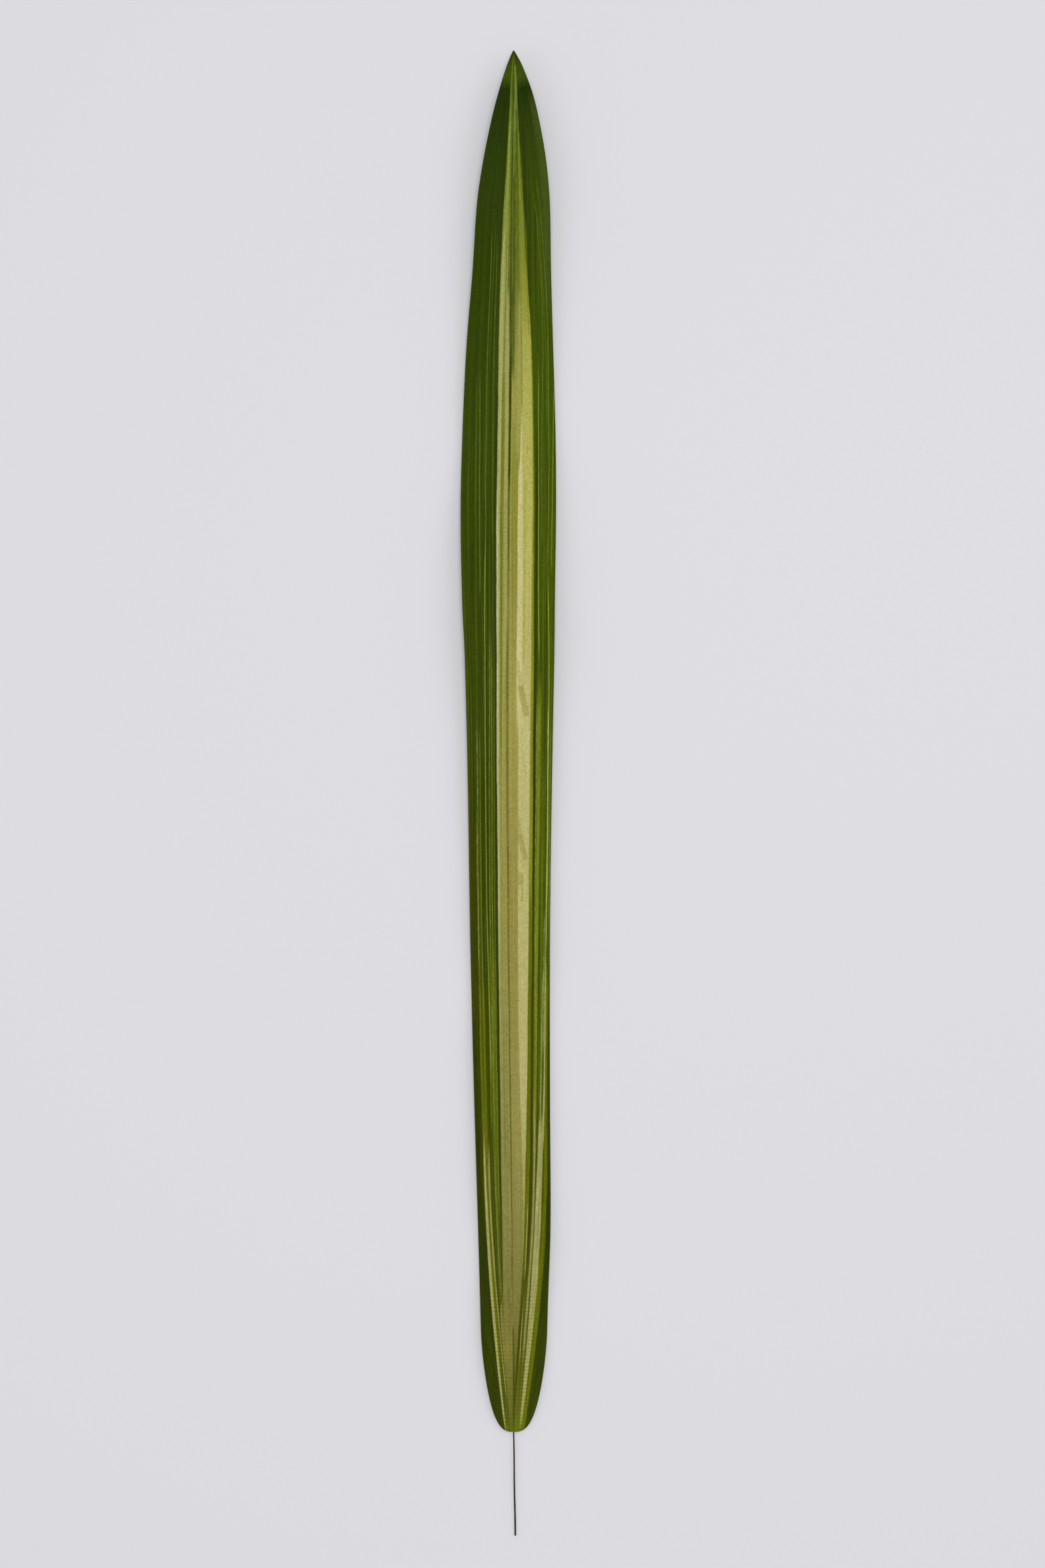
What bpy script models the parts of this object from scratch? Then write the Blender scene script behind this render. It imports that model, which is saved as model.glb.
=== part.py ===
"""A long variegated strap leaf on a thin wiry stalk, as picked and laid face up on a flat surface.

The blade is one closed solid: a shallow channel with a fine groove along its midrib, margins that wave
and lift clear of the surface, and a base trimmed round. The stalk is a thin round rod that leaves the
middle of the trimmed base and comes down to the surface. Both lie along Y, with the tip at +Y.

Metres, +Z up. The origin is the middle of the bounding box's bottom, on the surface that the leaf lies on.
"""

import math

import bmesh
import bpy
from mathutils import Vector

MM = 0.001

# Driving dimensions.
BLADE_LENGTH = 600 * MM
BLADE_HALF_WIDTH = 20.85 * MM  # at the widest place, from the midrib to the left margin
STALK_LENGTH = 45 * MM
STALK_TOP_RADIUS = 0.31 * MM
STALK_END_RADIUS = 0.38 * MM
JOINT_GAP = 0.3 * MM  # between the blade's cut base and the stalk's top end

# The outline: share of the blade's length from the base, then the left and the right half width as
# shares of BLADE_HALF_WIDTH. The trimmed base is rounded off by base_rounding().
OUTLINE = (
    (0.00, 0.625, 0.645),
    (0.09, 0.680, 0.725),
    (0.15, 0.710, 0.800),
    (0.24, 0.752, 0.825),
    (0.35, 0.790, 0.865),
    (0.47, 0.820, 0.930),
    (0.56, 0.885, 0.975),
    (0.60, 0.945, 0.980),
    (0.67, 1.000, 0.985),
    (0.73, 0.980, 0.950),
    (0.79, 0.920, 0.875),
    (0.84, 0.820, 0.815),
    (0.89, 0.740, 0.770),
    (0.92, 0.620, 0.685),
    (0.95, 0.450, 0.530),
    (0.97, 0.305, 0.385),
    (0.99, 0.130, 0.165),
    (1.00, 0.012, 0.012),
)
BASE_ROUNDING_END = 0.0724  # share of the length over which the trimmed base rounds out
BASE_ROUNDING_POWERS = (1.6, 1 / 3)  # a fuller curve than a circle's, which would be 2 and 1/2
CUT_HALF_WIDTH = 2.0 * MM  # the short straight cut that the stalk leaves
SIDE_BOW = 2.8 * MM  # how far the midrib bows towards -X halfway along
SIDE_BOW_POWER = 1.8  # above 1, the bow starts and ends straight
STALK_LEAN = 0.65 * MM  # how far the stalk's end lies towards +X of its top

# Thickness of the blade.
MIDRIB_AT_BASE = 0.85 * MM
MIDRIB_AT_TIP = 0.50 * MM
LAMINA = 0.46 * MM
MARGIN = 0.34 * MM
MIDRIB_REACH = 0.13  # share of the half width over which the midrib swells
GROOVE_DEPTH = 0.26 * MM  # at the base, and GROOVE_TIP_SHARE of it at the tip
GROOVE_TIP_SHARE = 0.5
GROOVE_REACH = 0.05

# How the blade lies. The middle of its back is flat on the surface between these shares of the length.
FLAT_FROM, FLAT_TO = 0.06, 0.40
FLAT_SHARE = 0.34  # share of the half width that is flat on the surface there
FLAT_FADE = 0.12  # share of the length over which the flat narrows to nothing past FLAT_TO
BASE_LIFT = 0.9 * MM
ARCH_TO, ARCH_HEIGHT = 0.74, 4.2 * MM
TIP_FROM, TIP_TOP, TIP_HEIGHT = 0.76, 0.96, 9.0 * MM
TIP_NOD = 1.6 * MM  # how far the point comes down again past TIP_TOP
LEFT_CAMBER = 4.0 * MM
RIGHT_CAMBER = 3.5 * MM
CAMBER_POWER = 1.7
LEFT_WAVES = ((0.85 * MM, 118 * MM, 0.7), (0.35 * MM, 57 * MM, 2.1))  # height, length, phase
RIGHT_WAVES = ((0.75 * MM, 139 * MM, 3.6), (0.40 * MM, 66 * MM, 0.4))
WAVE_POWER = 2.4

# How finely the blade is cut into faces.
COLUMNS = (-1, -0.9, -0.72, -0.5, -0.3, -0.13, -0.05, 0, 0.05, 0.13, 0.3, 0.5, 0.72, 0.9, 1)
BASE_ROWS, MIDDLE_ROWS, TIP_ROWS = 12, 62, 14
MIDDLE_END = 0.90
STALK_POINTS = 16


def clamp(value):
    return min(1.0, max(0.0, value))


def smooth(value):
    """0 to 1 with a level start and end."""
    value = clamp(value)
    return value * value * (3 - 2 * value)


def slope_at(index, side):
    """The outline's slope at one of its stations, from the stations on either side."""
    before = OUTLINE[max(index - 1, 0)]
    after = OUTLINE[min(index + 1, len(OUTLINE) - 1)]
    return (after[side] - before[side]) / (after[0] - before[0])


def outline_share(along, side):
    """The half width on one side, 1 for left and 2 for right, as a smooth curve through OUTLINE."""
    index = max(i for i, station in enumerate(OUTLINE[:-1]) if station[0] <= max(along, 0))
    start, end = OUTLINE[index], OUTLINE[index + 1]
    span = end[0] - start[0]
    part = (along - start[0]) / span
    start_pull = slope_at(index, side) * span
    end_pull = slope_at(index + 1, side) * span
    return (
        start[side] * (2 * part**3 - 3 * part**2 + 1)
        + start_pull * (part**3 - 2 * part**2 + part)
        + end[side] * (3 * part**2 - 2 * part**3)
        + end_pull * (part**3 - part**2)
    )


def base_rounding(along):
    """1 above the trimmed base, falling to 0 at the cut in a full round curve."""
    inner, outer = BASE_ROUNDING_POWERS
    down = 1 - clamp(along / BASE_ROUNDING_END)
    return (1 - down**inner) ** outer


def half_width(along, across):
    """The blade's half width on the side that across lies on, before the base is trimmed."""
    return BLADE_HALF_WIDTH * outline_share(along, 1 if across < 0 else 2)


def trimmed_half_width(along, across):
    whole = half_width(along, across)
    return max(whole * base_rounding(along), min(whole, CUT_HALF_WIDTH))


def midrib_x(along):
    return -SIDE_BOW * abs(math.sin(math.pi * along)) ** SIDE_BOW_POWER


def spine_height(along):
    """Height of the midrib's underside above the surface."""
    base = BASE_LIFT * (1 - smooth(along / FLAT_FROM))
    arch_part = clamp((along - FLAT_TO) / (ARCH_TO - FLAT_TO))
    arch = ARCH_HEIGHT * math.sin(math.pi * arch_part) ** 2
    tip = TIP_HEIGHT * smooth((along - TIP_FROM) / (TIP_TOP - TIP_FROM))
    nod = TIP_NOD * clamp((along - TIP_TOP) / (1 - TIP_TOP)) ** 2
    return base + arch + tip - nod


def wave(along, across):
    waves = LEFT_WAVES if across < 0 else RIGHT_WAVES
    turn = 2 * math.pi * along * BLADE_LENGTH
    return sum(height * math.sin(turn / length + phase) for height, length, phase in waves)


def side_height(along, across):
    """How far the blade rises from its midrib towards a margin, with the margin's waves."""
    flat = FLAT_SHARE * (1 - smooth((along - FLAT_TO) / FLAT_FADE))
    reach = clamp((abs(across) - flat) / (1 - flat))
    fullness = half_width(along, across) / BLADE_HALF_WIDTH
    camber = (LEFT_CAMBER if across < 0 else RIGHT_CAMBER) * reach**CAMBER_POWER
    return fullness * (camber + wave(along, across) * reach**WAVE_POWER)


def thickness(along, across):
    midrib = MIDRIB_AT_BASE + (MIDRIB_AT_TIP - MIDRIB_AT_BASE) * along
    lamina = LAMINA + (MARGIN - LAMINA) * across * across
    swell = max(midrib - LAMINA, 0) * math.exp(-((across / MIDRIB_REACH) ** 2))
    return lamina + swell


def groove(along, across):
    depth = GROOVE_DEPTH * (1 - (1 - GROOVE_TIP_SHARE) * along)
    return depth * math.exp(-((across / GROOVE_REACH) ** 2))


def blade_point(along, column, upper):
    """A point of the blade's face (upper) or back, for a share of the length and of the trimmed width."""
    offset = column * trimmed_half_width(along, column)
    across = offset / half_width(along, column)
    height = spine_height(along) + side_height(along, across)
    if upper:
        height += thickness(along, across) - groove(along, across)
    return Vector((midrib_x(along) + offset, along * BLADE_LENGTH, height))


def row_shares():
    """Shares of the length at which the blade is cut across, closest together at the base and the tip."""
    base = [BASE_ROUNDING_END * (i / BASE_ROWS) ** 2.2 for i in range(BASE_ROWS)]
    middle_span = MIDDLE_END - BASE_ROUNDING_END
    middle = [BASE_ROUNDING_END + middle_span * i / MIDDLE_ROWS for i in range(MIDDLE_ROWS)]
    tip = [1 - (1 - MIDDLE_END) * (1 - i / TIP_ROWS) ** 1.3 for i in range(TIP_ROWS + 1)]
    return base + middle + tip


def origin_shift():
    """What moves the finished leaf so that the middle of its bounding box's bottom is the origin."""
    lefts = [blade_point(along, -1, False).x for along in row_shares()]
    rights = [blade_point(along, 1, False).x for along in row_shares()]
    low_y = -JOINT_GAP - STALK_LENGTH
    return Vector((-(min(lefts) + max(rights)) / 2, -(low_y + BLADE_LENGTH) / 2, 0))


def material(name, colour, roughness):
    made = bpy.data.materials.new(name)
    made.use_nodes = True
    shader = made.node_tree.nodes["Principled BSDF"]
    shader.inputs["Base Color"].default_value = (*colour, 1)
    shader.inputs["Roughness"].default_value = roughness
    shader.inputs["Metallic"].default_value = 0
    return made


def make_blade(shift):
    """The blade: a flat grid, extruded once to give it a back and a face, then laid out point by point."""
    rows = row_shares()
    bm = bmesh.new()
    bmesh.ops.create_grid(bm, x_segments=len(COLUMNS) - 1, y_segments=len(rows) - 1, size=1)
    raised = bmesh.ops.extrude_face_region(bm, geom=bm.faces[:])["geom"]
    face_points = {item for item in raised if isinstance(item, bmesh.types.BMVert)}
    for point in bm.verts:
        column = COLUMNS[round((point.co.x + 1) / 2 * (len(COLUMNS) - 1))]
        along = rows[round((point.co.y + 1) / 2 * (len(rows) - 1))]
        point.co = blade_point(along, column, point in face_points) + shift
    bmesh.ops.recalc_face_normals(bm, faces=bm.faces[:])
    mesh = bpy.data.meshes.new("leaf_blade")
    bm.to_mesh(mesh)
    bm.free()
    mesh.shade_smooth()
    mesh.set_sharp_from_angle(angle=math.radians(50))
    mesh.materials.append(material("leaf_green", (0.10, 0.16, 0.02), 0.45))
    blade = bpy.data.objects.new("leaf_blade", mesh)
    bpy.context.scene.collection.objects.link(blade)
    return blade


def stalk_point(part):
    """The stalk's centre line, part of the way from its top end to its free end."""
    top_height = blade_point(0, 0, False).z + thickness(0, 0) / 2
    height = STALK_END_RADIUS + (top_height - STALK_END_RADIUS) * (1 - smooth(part))
    return Vector((midrib_x(0) + STALK_LEAN * part, -JOINT_GAP - STALK_LENGTH * part, height))


def make_stalk(shift):
    """The stalk: a round rod along a gentle curve that comes down to the surface, a little thicker below."""
    curve = bpy.data.curves.new("stalk", "CURVE")
    curve.dimensions = "3D"
    curve.bevel_depth = 1
    curve.bevel_resolution = 4
    curve.use_fill_caps = True
    line = curve.splines.new("POLY")
    line.points.add(STALK_POINTS - 1)
    for index, point in enumerate(line.points):
        part = index / (STALK_POINTS - 1)
        point.co = (*(stalk_point(part) + shift), 1)
        point.radius = STALK_TOP_RADIUS + (STALK_END_RADIUS - STALK_TOP_RADIUS) * part
    curve.materials.append(material("stalk_brown", (0.045, 0.045, 0.012), 0.5))
    stalk = bpy.data.objects.new("stalk", curve)
    bpy.context.scene.collection.objects.link(stalk)
    return stalk


def main():
    for old in list(bpy.data.objects):
        bpy.data.objects.remove(old, do_unlink=True)
    shift = origin_shift()
    make_blade(shift)
    make_stalk(shift)


main()
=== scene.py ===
"""The looks of a variegated strap leaf: a long blade with a pale, finely striped middle and dark green
margins, on a thin wiry stalk, lying face up on a pale surface.

The leaf runs along Y with its tip at +Y. A place on the blade is told by two numbers that follow its veins:
along, 0 at the cut base and 1 at the tip, and across, 0 on the midrib, -1 on the left margin and 1 on the
right. The veins run together towards the base, where the trim cuts through the outer ones.
"""

import math

import bmesh
import bpy
import numpy as np
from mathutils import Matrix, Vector


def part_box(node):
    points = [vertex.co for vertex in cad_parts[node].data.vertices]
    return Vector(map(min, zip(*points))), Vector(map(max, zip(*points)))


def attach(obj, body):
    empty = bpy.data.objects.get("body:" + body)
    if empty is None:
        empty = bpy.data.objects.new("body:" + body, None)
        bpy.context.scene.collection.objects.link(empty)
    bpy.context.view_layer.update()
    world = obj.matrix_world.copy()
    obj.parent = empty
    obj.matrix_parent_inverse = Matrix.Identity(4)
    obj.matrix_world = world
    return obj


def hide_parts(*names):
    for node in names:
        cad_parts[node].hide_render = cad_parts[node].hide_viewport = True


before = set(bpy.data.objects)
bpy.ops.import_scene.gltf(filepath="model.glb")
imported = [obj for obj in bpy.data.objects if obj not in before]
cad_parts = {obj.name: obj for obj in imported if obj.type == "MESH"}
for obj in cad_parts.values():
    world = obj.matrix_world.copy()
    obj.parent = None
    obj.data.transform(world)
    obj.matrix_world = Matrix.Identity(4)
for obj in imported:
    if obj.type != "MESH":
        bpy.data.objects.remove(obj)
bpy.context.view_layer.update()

MM = 0.001
BLADE_LOW, BLADE_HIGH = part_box("leaf_blade")
STALK_LOW, STALK_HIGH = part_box("stalk")
BLADE_LENGTH = BLADE_HIGH.y - BLADE_LOW.y

# ---------------------------------------------------------------------------------------------------------
# The blade's shape, as the solid has it, and the finer relief that the solid leaves out.

BLADE_HALF_WIDTH = 20.85 * MM
OUTLINE = (  # along, then the left and the right half width as shares of BLADE_HALF_WIDTH
    (0.00, 0.625, 0.645),
    (0.09, 0.680, 0.725),
    (0.15, 0.710, 0.800),
    (0.24, 0.752, 0.825),
    (0.35, 0.790, 0.865),
    (0.47, 0.820, 0.930),
    (0.56, 0.885, 0.975),
    (0.60, 0.945, 0.980),
    (0.67, 1.000, 0.985),
    (0.73, 0.980, 0.950),
    (0.79, 0.920, 0.875),
    (0.84, 0.820, 0.815),
    (0.89, 0.740, 0.770),
    (0.92, 0.620, 0.685),
    (0.95, 0.450, 0.530),
    (0.97, 0.305, 0.385),
    (0.99, 0.130, 0.165),
    (1.00, 0.012, 0.012),
)
BASE_ROUNDING_END = 0.0724
BASE_ROUNDING_POWERS = (1.6, 1 / 3)
CUT_HALF_WIDTH = 2.0 * MM
SIDE_BOW, SIDE_BOW_POWER = 2.8 * MM, 1.8

MIDRIB_AT_BASE, MIDRIB_AT_TIP = 0.85 * MM, 0.50 * MM
LAMINA, MARGIN = 0.46 * MM, 0.34 * MM
MIDRIB_REACH = 0.13
GROOVE_DEPTH, GROOVE_TIP_SHARE, GROOVE_REACH = 0.26 * MM, 0.5, 0.05

FLAT_FROM, FLAT_TO, FLAT_SHARE, FLAT_FADE = 0.06, 0.40, 0.34, 0.12
BASE_LIFT = 0.9 * MM
ARCH_TO, ARCH_HEIGHT = 0.74, 4.2 * MM
TIP_FROM, TIP_TOP, TIP_HEIGHT, TIP_NOD = 0.76, 0.96, 9.0 * MM, 1.6 * MM
LEFT_CAMBER, RIGHT_CAMBER, CAMBER_POWER = 4.0 * MM, 3.5 * MM, 1.7
LEFT_WAVES = ((0.85 * MM, 118 * MM, 0.7), (0.35 * MM, 57 * MM, 2.1))  # height, length, phase
RIGHT_WAVES = ((0.75 * MM, 139 * MM, 3.6), (0.40 * MM, 66 * MM, 0.4))
WAVE_POWER = 2.4

# Relief. The veins stand up a little on the face and more on the back.
VEINS_PER_SIDE = 10.5
VEIN_HEIGHT, BACK_VEIN_HEIGHT = 0.035 * MM, 0.050 * MM
PLEATS_PER_SIDE, PLEAT_HEIGHT = 3.2, 0.10 * MM
KEEL_DEPTH, KEEL_REACH = 0.12 * MM, 0.09  # how far the back stands in on both sides of the midrib's keel
CRIMP_HEIGHT, CRIMP_LENGTH, CRIMP_REACH = 0.16 * MM, 17 * MM, 0.14  # the small waves of the very margin
EDGE_ROUNDING = 0.018  # share of the width over which the margin thins to a rounded edge
TRIM_VEIN_SHARE, VEINS_MEET_BY = 0.27, 0.22  # how far, and from where down, the veins run together

# How finely the blade is cut: across from the midrib to a margin, and along.
GROOVE_COLUMNS = (0, 0.012, 0.024, 0.036, 0.05, 0.066, 0.084, 0.105, 0.13)
LAMINA_COLUMNS = 40
EDGE_COLUMNS = (0.975, 0.984, 0.990, 0.9945, 0.998, 1.0)
BASE_ROWS, MIDDLE_ROWS, TIP_ROWS, MIDDLE_END = 60, 310, 50, 0.90

VEIN_MAP = "veins"
MARGIN_NOTE = "from_margin"  # attribute: distance from the margin in millimetres
ACROSS_SPAN = 6.0  # the vein map's width in half widths, so that the trimmed base stays on it


def smooth(value):
    """0 to 1 with a level start and end."""
    value = np.clip(value, 0, 1)
    return value * value * (3 - 2 * value)


def outline_share(along, side):
    """The half width on one side, 1 for left and 2 for right, as a smooth curve through OUTLINE."""
    stations = np.array(OUTLINE)
    place, share = stations[:, 0], stations[:, side]
    last = len(place) - 1
    before = np.maximum(np.arange(last + 1) - 1, 0)
    after = np.minimum(np.arange(last + 1) + 1, last)
    slope = (share[after] - share[before]) / (place[after] - place[before])
    low = np.clip(np.searchsorted(place, along, side="right") - 1, 0, last - 1)
    span = place[low + 1] - place[low]
    part = (along - place[low]) / span
    return (
        share[low] * (2 * part**3 - 3 * part**2 + 1)
        + slope[low] * span * (part**3 - 2 * part**2 + part)
        + share[low + 1] * (3 * part**2 - 2 * part**3)
        + slope[low + 1] * span * (part**3 - part**2)
    )


def half_width(along, across):
    """The blade's half width on the side that across lies on, before the base is trimmed."""
    left, right = outline_share(along, 1), outline_share(along, 2)
    return BLADE_HALF_WIDTH * np.where(across < 0, left, right)


def trimmed_half_width(along, across):
    inner, outer = BASE_ROUNDING_POWERS
    down = 1 - np.clip(along / BASE_ROUNDING_END, 0, 1)
    whole = half_width(along, across)
    return np.maximum(whole * (1 - down**inner) ** outer, np.minimum(whole, CUT_HALF_WIDTH))


def midrib_x(along):
    return -SIDE_BOW * np.abs(np.sin(math.pi * along)) ** SIDE_BOW_POWER


def vein_share(along):
    """The veins' spread as a share of the untrimmed blade's: less than 1 where they run together."""
    spread = np.sin(math.pi / 2 * np.clip(along / VEINS_MEET_BY, 0, 1)) ** 0.9
    return TRIM_VEIN_SHARE + (1 - TRIM_VEIN_SHARE) * spread


def spine_height(along):
    base = BASE_LIFT * (1 - smooth(along / FLAT_FROM))
    arch_part = np.clip((along - FLAT_TO) / (ARCH_TO - FLAT_TO), 0, 1)
    arch = ARCH_HEIGHT * np.sin(math.pi * arch_part) ** 2
    tip = TIP_HEIGHT * smooth((along - TIP_FROM) / (TIP_TOP - TIP_FROM))
    nod = TIP_NOD * np.clip((along - TIP_TOP) / (1 - TIP_TOP), 0, 1) ** 2
    return base + arch + tip - nod


def wave(along, waves):
    turn = 2 * math.pi * along * BLADE_LENGTH
    return sum(height * np.sin(turn / length + phase) for height, length, phase in waves)


def side_height(along, across):
    """How far the blade rises from its midrib towards a margin, with the margin's waves."""
    flat = FLAT_SHARE * (1 - smooth((along - FLAT_TO) / FLAT_FADE))
    reach = np.clip((np.abs(across) - flat) / (1 - flat), 0, 1)
    fullness = half_width(along, across) / BLADE_HALF_WIDTH
    camber = np.where(across < 0, LEFT_CAMBER, RIGHT_CAMBER) * reach**CAMBER_POWER
    waves = np.where(across < 0, wave(along, LEFT_WAVES), wave(along, RIGHT_WAVES))
    crimp = CRIMP_HEIGHT * np.sin(2 * math.pi * along * BLADE_LENGTH / CRIMP_LENGTH + 3 * across)
    crimp *= np.exp((np.abs(across) - 1) / CRIMP_REACH) * (0.6 + 0.4 * np.sin(31 * along + across))
    return fullness * (camber + waves * reach**WAVE_POWER + crimp * reach)


def thickness(along, across):
    midrib = MIDRIB_AT_BASE + (MIDRIB_AT_TIP - MIDRIB_AT_BASE) * along
    lamina = LAMINA + (MARGIN - LAMINA) * across * across
    swell = np.maximum(midrib - LAMINA, 0) * np.exp(-((across / MIDRIB_REACH) ** 2))
    groove = GROOVE_DEPTH * (1 - (1 - GROOVE_TIP_SHARE) * along)
    return lamina + swell - groove * np.exp(-((across / GROOVE_REACH) ** 2))


def veins(along, vein_across, height):
    """Fine ridges along the veins. They fade where the veins run too close together for the mesh."""
    swing = vein_across + 0.012 * np.sin(9 * along + 4 * vein_across)
    ridges = 0.5 + 0.5 * np.cos(2 * math.pi * VEINS_PER_SIDE * swing)
    clear = smooth((vein_share(along) - 0.55) / 0.3) * smooth((1.0 - along) / 0.12)
    return height * ridges * clear * smooth((np.abs(vein_across) - 0.05) / 0.08)


def pleats(along, across):
    """Broad low folds along the blade, which come and go along it."""
    swing = across + 0.05 * np.sin(7 * along + 1.0)
    strength = 0.6 + 0.4 * np.sin(23 * along + 5 * np.sign(across))
    away = smooth((np.abs(across) - 0.12) / 0.25)
    return PLEAT_HEIGHT * np.cos(2 * math.pi * PLEATS_PER_SIDE * swing) * strength * away


def column_shares():
    lamina = np.linspace(GROOVE_COLUMNS[-1], EDGE_COLUMNS[0], LAMINA_COLUMNS + 2)[1:-1]
    side = np.concatenate([GROOVE_COLUMNS, lamina, EDGE_COLUMNS])
    return np.concatenate([-side[:0:-1], side])


def row_shares():
    """Shares of the length, closest together at the base and the tip."""
    base = BASE_ROUNDING_END * (np.arange(BASE_ROWS) / BASE_ROWS) ** 1.9
    middle = np.linspace(BASE_ROUNDING_END, MIDDLE_END, MIDDLE_ROWS, endpoint=False)
    tip = 1 - (1 - MIDDLE_END) * (1 - np.arange(TIP_ROWS + 1) / TIP_ROWS) ** 1.3
    return np.concatenate([base, middle, tip])


def leaf_origin():
    """Where the midrib's base is, worked out from the solid's box."""
    along = row_shares()
    left = midrib_x(along) - trimmed_half_width(along, np.full_like(along, -1.0))
    return Vector((BLADE_LOW.x - left.min(), BLADE_LOW.y, BLADE_LOW.z))


ORIGIN = leaf_origin()


def blade_surface(along, column, upper):
    """Places, vein coordinates and distances from the margin, for arrays of rows, columns and sides."""
    width = trimmed_half_width(along, column)
    offset = column * width
    across = offset / half_width(along, column)
    vein_across = across / vein_share(along)
    rise = spine_height(along) + side_height(along, across)
    relief = pleats(along, across) * np.clip(rise / MM, 0, 1)
    full = thickness(along, across)
    face = rise + relief + full + veins(along, vein_across, VEIN_HEIGHT)
    keel = KEEL_DEPTH * (1 - np.exp(-((across / KEEL_REACH) ** 2))) * smooth((1 - along) / 0.05)
    back = rise + relief + keel - veins(along, vein_across, BACK_VEIN_HEIGHT)
    back = np.maximum(back, rise.clip(0))
    edge = np.clip((np.abs(column) - 1 + EDGE_ROUNDING) / EDGE_ROUNDING, 0, 1)
    thin = np.maximum(np.sqrt(1 - edge**2), 0.12)
    middle, half = (face + back) / 2, (face - back) / 2 * thin
    height = np.where(upper, middle + half, middle - half)
    x = ORIGIN.x + midrib_x(along) + offset
    y = ORIGIN.y + along * BLADE_LENGTH
    step = 1e-4
    lean = (trimmed_half_width(np.minimum(along + step, 1), column) - width) / (step * BLADE_LENGTH)
    margin = width * (1 - np.abs(column)) / np.sqrt(1 + lean**2) / MM
    places = np.stack([x, y, ORIGIN.z + height], axis=1)
    return places, 0.5 + vein_across / ACROSS_SPAN, margin


def vertex_places(mesh):
    places = np.empty(len(mesh.vertices) * 3)
    mesh.vertices.foreach_get("co", places)
    return places.reshape(-1, 3)


def make_blade():
    """The blade: a grid extruded once, so that it has a back and a face, then laid out as the leaf."""
    rows, columns = row_shares(), column_shares()
    bm = bmesh.new()
    bmesh.ops.create_grid(bm, x_segments=len(columns) - 1, y_segments=len(rows) - 1, size=1)
    raised = bmesh.ops.extrude_face_region(bm, geom=bm.faces[:])["geom"]
    face_points = [item for item in raised if isinstance(item, bmesh.types.BMVert)]
    bmesh.ops.translate(bm, vec=(0, 0, 1), verts=face_points)
    bmesh.ops.recalc_face_normals(bm, faces=bm.faces[:])
    mesh = bpy.data.meshes.new("blade")
    bm.to_mesh(mesh)
    bm.free()

    grid = vertex_places(mesh)
    along = rows[np.rint((grid[:, 1] + 1) / 2 * (len(rows) - 1)).astype(int)]
    column = columns[np.rint((grid[:, 0] + 1) / 2 * (len(columns) - 1)).astype(int)]
    upper = grid[:, 2] > 0.5
    places, across, margin = blade_surface(along, column, upper)
    mesh.vertices.foreach_set("co", places.ravel())

    corner = np.empty(len(mesh.loops), np.int32)
    mesh.loops.foreach_get("vertex_index", corner)
    vein_map = mesh.uv_layers.new(name=VEIN_MAP)
    vein_map.uv.foreach_set("vector", np.stack([across[corner], along[corner]], axis=1).ravel())
    mesh.attributes.new(MARGIN_NOTE, "FLOAT", "POINT").data.foreach_set("value", margin)

    # Slot 0 is the face, 1 the back and 2 the margin and the cut.
    first = np.empty(len(mesh.polygons), np.int32)
    mesh.polygons.foreach_get("loop_start", first)
    raised_corners = np.add.reduceat(upper[corner].astype(int), first)
    slots = np.select([raised_corners == 4, raised_corners == 0], [0, 1], 2)
    mesh.materials.append(leaf_face())
    mesh.materials.append(leaf_back())
    mesh.materials.append(leaf_edge())
    mesh.polygons.foreach_set("material_index", slots.astype(np.int32))
    mesh.update()
    mesh.shade_smooth()
    blade = bpy.data.objects.new("blade", mesh)
    bpy.context.scene.collection.objects.link(blade)
    return blade


# ---------------------------------------------------------------------------------------------------------
# The stalk.

STALK_TOP_RADIUS, STALK_END_RADIUS = 0.31 * MM, 0.38 * MM
STALK_ROOT = 4.0 * MM  # how far the visible stalk tapers into the blade's midrib
STALK_SIDES, STALK_RINGS = 20, 90
STALK_FLUTES, FLUTE_DEPTH = 5, 0.06


def stalk_ring(part):
    """Centre and radius, from part -0.1 or so inside the midrib, past 0 at the cut, to 1 at the free end."""
    length = STALK_HIGH.y - STALK_LOW.y
    top = BASE_LIFT + float(thickness(np.array(0.0), np.array(0.0))) / 2
    fall = float(smooth(np.array(part)))
    low = STALK_END_RADIUS
    lean = (STALK_LOW.x + STALK_HIGH.x) / 2 - ORIGIN.x
    centre = Vector((
        ORIGIN.x + 2 * lean * part + 0.05 * MM * math.sin(9 * part),
        STALK_HIGH.y - length * part,
        ORIGIN.z + low + (top - low) * (1 - fall),
    ))
    radius = STALK_TOP_RADIUS + (STALK_END_RADIUS - STALK_TOP_RADIUS) * max(part, 0)
    if part < 0:
        radius *= max(1 + part * length / STALK_ROOT, 0.15)
    return centre, radius


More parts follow.
